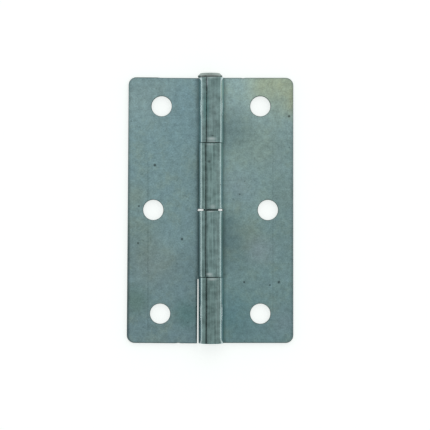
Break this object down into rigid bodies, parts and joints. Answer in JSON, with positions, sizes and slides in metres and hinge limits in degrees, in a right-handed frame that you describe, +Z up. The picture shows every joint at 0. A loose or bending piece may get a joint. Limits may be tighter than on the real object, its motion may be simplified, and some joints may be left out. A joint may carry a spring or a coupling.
{
  "type": "butt hinge",
  "caption": "Open steel butt hinge: flat leaves with plain screw holes, whose rolled knuckles interleave on a fixed headed pin.",
  "frame": {"origin": "bottom centre of the bounding box of the open hinge, on the plane of the leaf backs", "axes": "+Y along the pin towards its head, +X towards the right leaf, +Z up from the leaf backs towards the barrel"},
  "size_m": [0.0502, 0.0814, 0.0076],
  "materials": {
    "left_leaf": "bright zinc plate with a blue passivation, fine satin grain",
    "right_leaf": "bright zinc plate with a slightly yellow passivation, fine satin grain",
    "hinge_pin": "drawn steel wire, plated, with a pressed head"
  },
  "bodies": {
    "left_leaf_and_pin": {"left_leaf": "left_leaf", "hinge_pin": "hinge_pin"},
    "right_leaf": {"right_leaf": "right_leaf"}
  },
  "joints": [
    {"name": "leaf_swing", "type": "hinge", "parent": "left_leaf_and_pin", "child": "right_leaf", "pos_m": [0, 0, 0.00375], "axis": [0, -1, 0], "range_deg": [-83, 189]}
  ]
}
